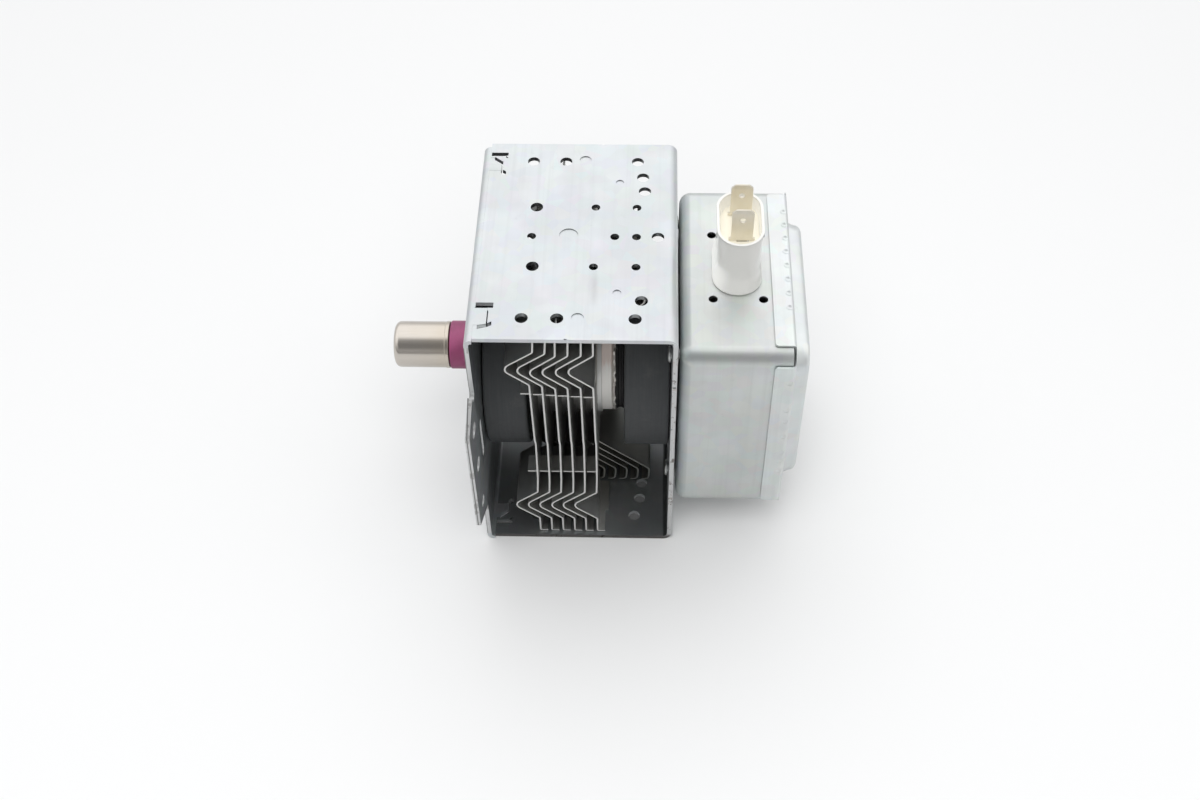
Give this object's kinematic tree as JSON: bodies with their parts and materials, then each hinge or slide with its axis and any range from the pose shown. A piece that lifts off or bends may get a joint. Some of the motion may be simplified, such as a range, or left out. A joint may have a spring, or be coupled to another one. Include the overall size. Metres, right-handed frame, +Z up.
{
  "type": "magnetron",
  "caption": "Finned microwave tube in a folded steel yoke with ring magnets, a capped antenna, mounting ears and a boxed filter with push-on supply tabs.",
  "frame": {"origin": "middle of the yoke's underside, which the part rests on", "axes": "+X from the antenna towards the filter box, along the tube; +Z up, where the supply tabs point; +Y away from the viewer of the picture, along the cooling air's path"},
  "size_m": [0.1282, 0.11, 0.1129],
  "materials": {
    "galvanised_steel": "hot-dip galvanised sheet, satin with a faint spangle",
    "ferrite": "fired and ground ferrite, matt dark grey",
    "fin_aluminium": "bare rolled sheet, satin",
    "copper": "bare oxygen-free copper",
    "pole_iron": "plated soft iron",
    "seal_steel": "plated drawn steel",
    "black_ring": "matt black",
    "purple_ceramic": "unglazed alumina, magenta-brown",
    "nickel_cap": "warm nickel, lightly heat-stained",
    "mesh_gasket": "knitted tinned brass wire",
    "tungsten": "bare tungsten and molybdenum",
    "white_ceramic": "unglazed ceramic",
    "cream_insulator": "moulded thermoset, satin cream",
    "tinned_brass": "tinned, slightly yellow",
    "enamelled_copper": "enamelled winding wire"
  },
  "bodies": {
    "root": {"yoke_frame": "galvanised_steel", "yoke_end_plate": "galvanised_steel", "magnet_output": "ferrite", "magnet_input": "ferrite", "spacer_ring": "black_ring", "anode_block": "copper", "strap_output_inner": "copper", "strap_output_outer": "copper", "strap_input_inner": "copper", "strap_input_outer": "copper", "pole_piece_output": "pole_iron", "pole_piece_input": "pole_iron", "seal_sleeve_output": "seal_steel", "seal_sleeve_input": "seal_steel", "output_ceramic": "purple_ceramic", "antenna_cap": "nickel_cap", "exhaust_tube": "copper", "antenna_lead": "copper", "gasket_retainer": "seal_steel", "rf_gasket": "mesh_gasket", "end_hat_output": "tungsten", "end_hat_input": "tungsten", "cathode_filament": "tungsten", "cathode_centre_lead": "tungsten", "cathode_side_lead": "tungsten", "stem_ceramic": "white_ceramic", "cathode_terminal_1": "seal_steel", "cathode_terminal_2": "seal_steel", "cooling_fin_1": "fin_aluminium", "cooling_fin_2": "fin_aluminium", "cooling_fin_3": "fin_aluminium", "cooling_fin_4": "fin_aluminium", "cooling_fin_5": "fin_aluminium", "cooling_fin_6": "fin_aluminium", "filter_box_case": "galvanised_steel", "filter_box_lid": "galvanised_steel", "case_rivet_1": "seal_steel", "case_rivet_2": "seal_steel", "case_rivet_3": "seal_steel", "case_rivet_4": "seal_steel", "capacitor_shell": "cream_insulator", "capacitor_ground_plate": "seal_steel", "capacitor_ceramic": "white_ceramic", "capacitor_inner_case": "cream_insulator", "supply_terminal_1": "tinned_brass", "supply_terminal_2": "tinned_brass", "choke_core_1": "ferrite", "choke_core_2": "ferrite", "choke_coil_1": "enamelled_copper", "choke_coil_2": "enamelled_copper"}
  },
  "joints": []
}
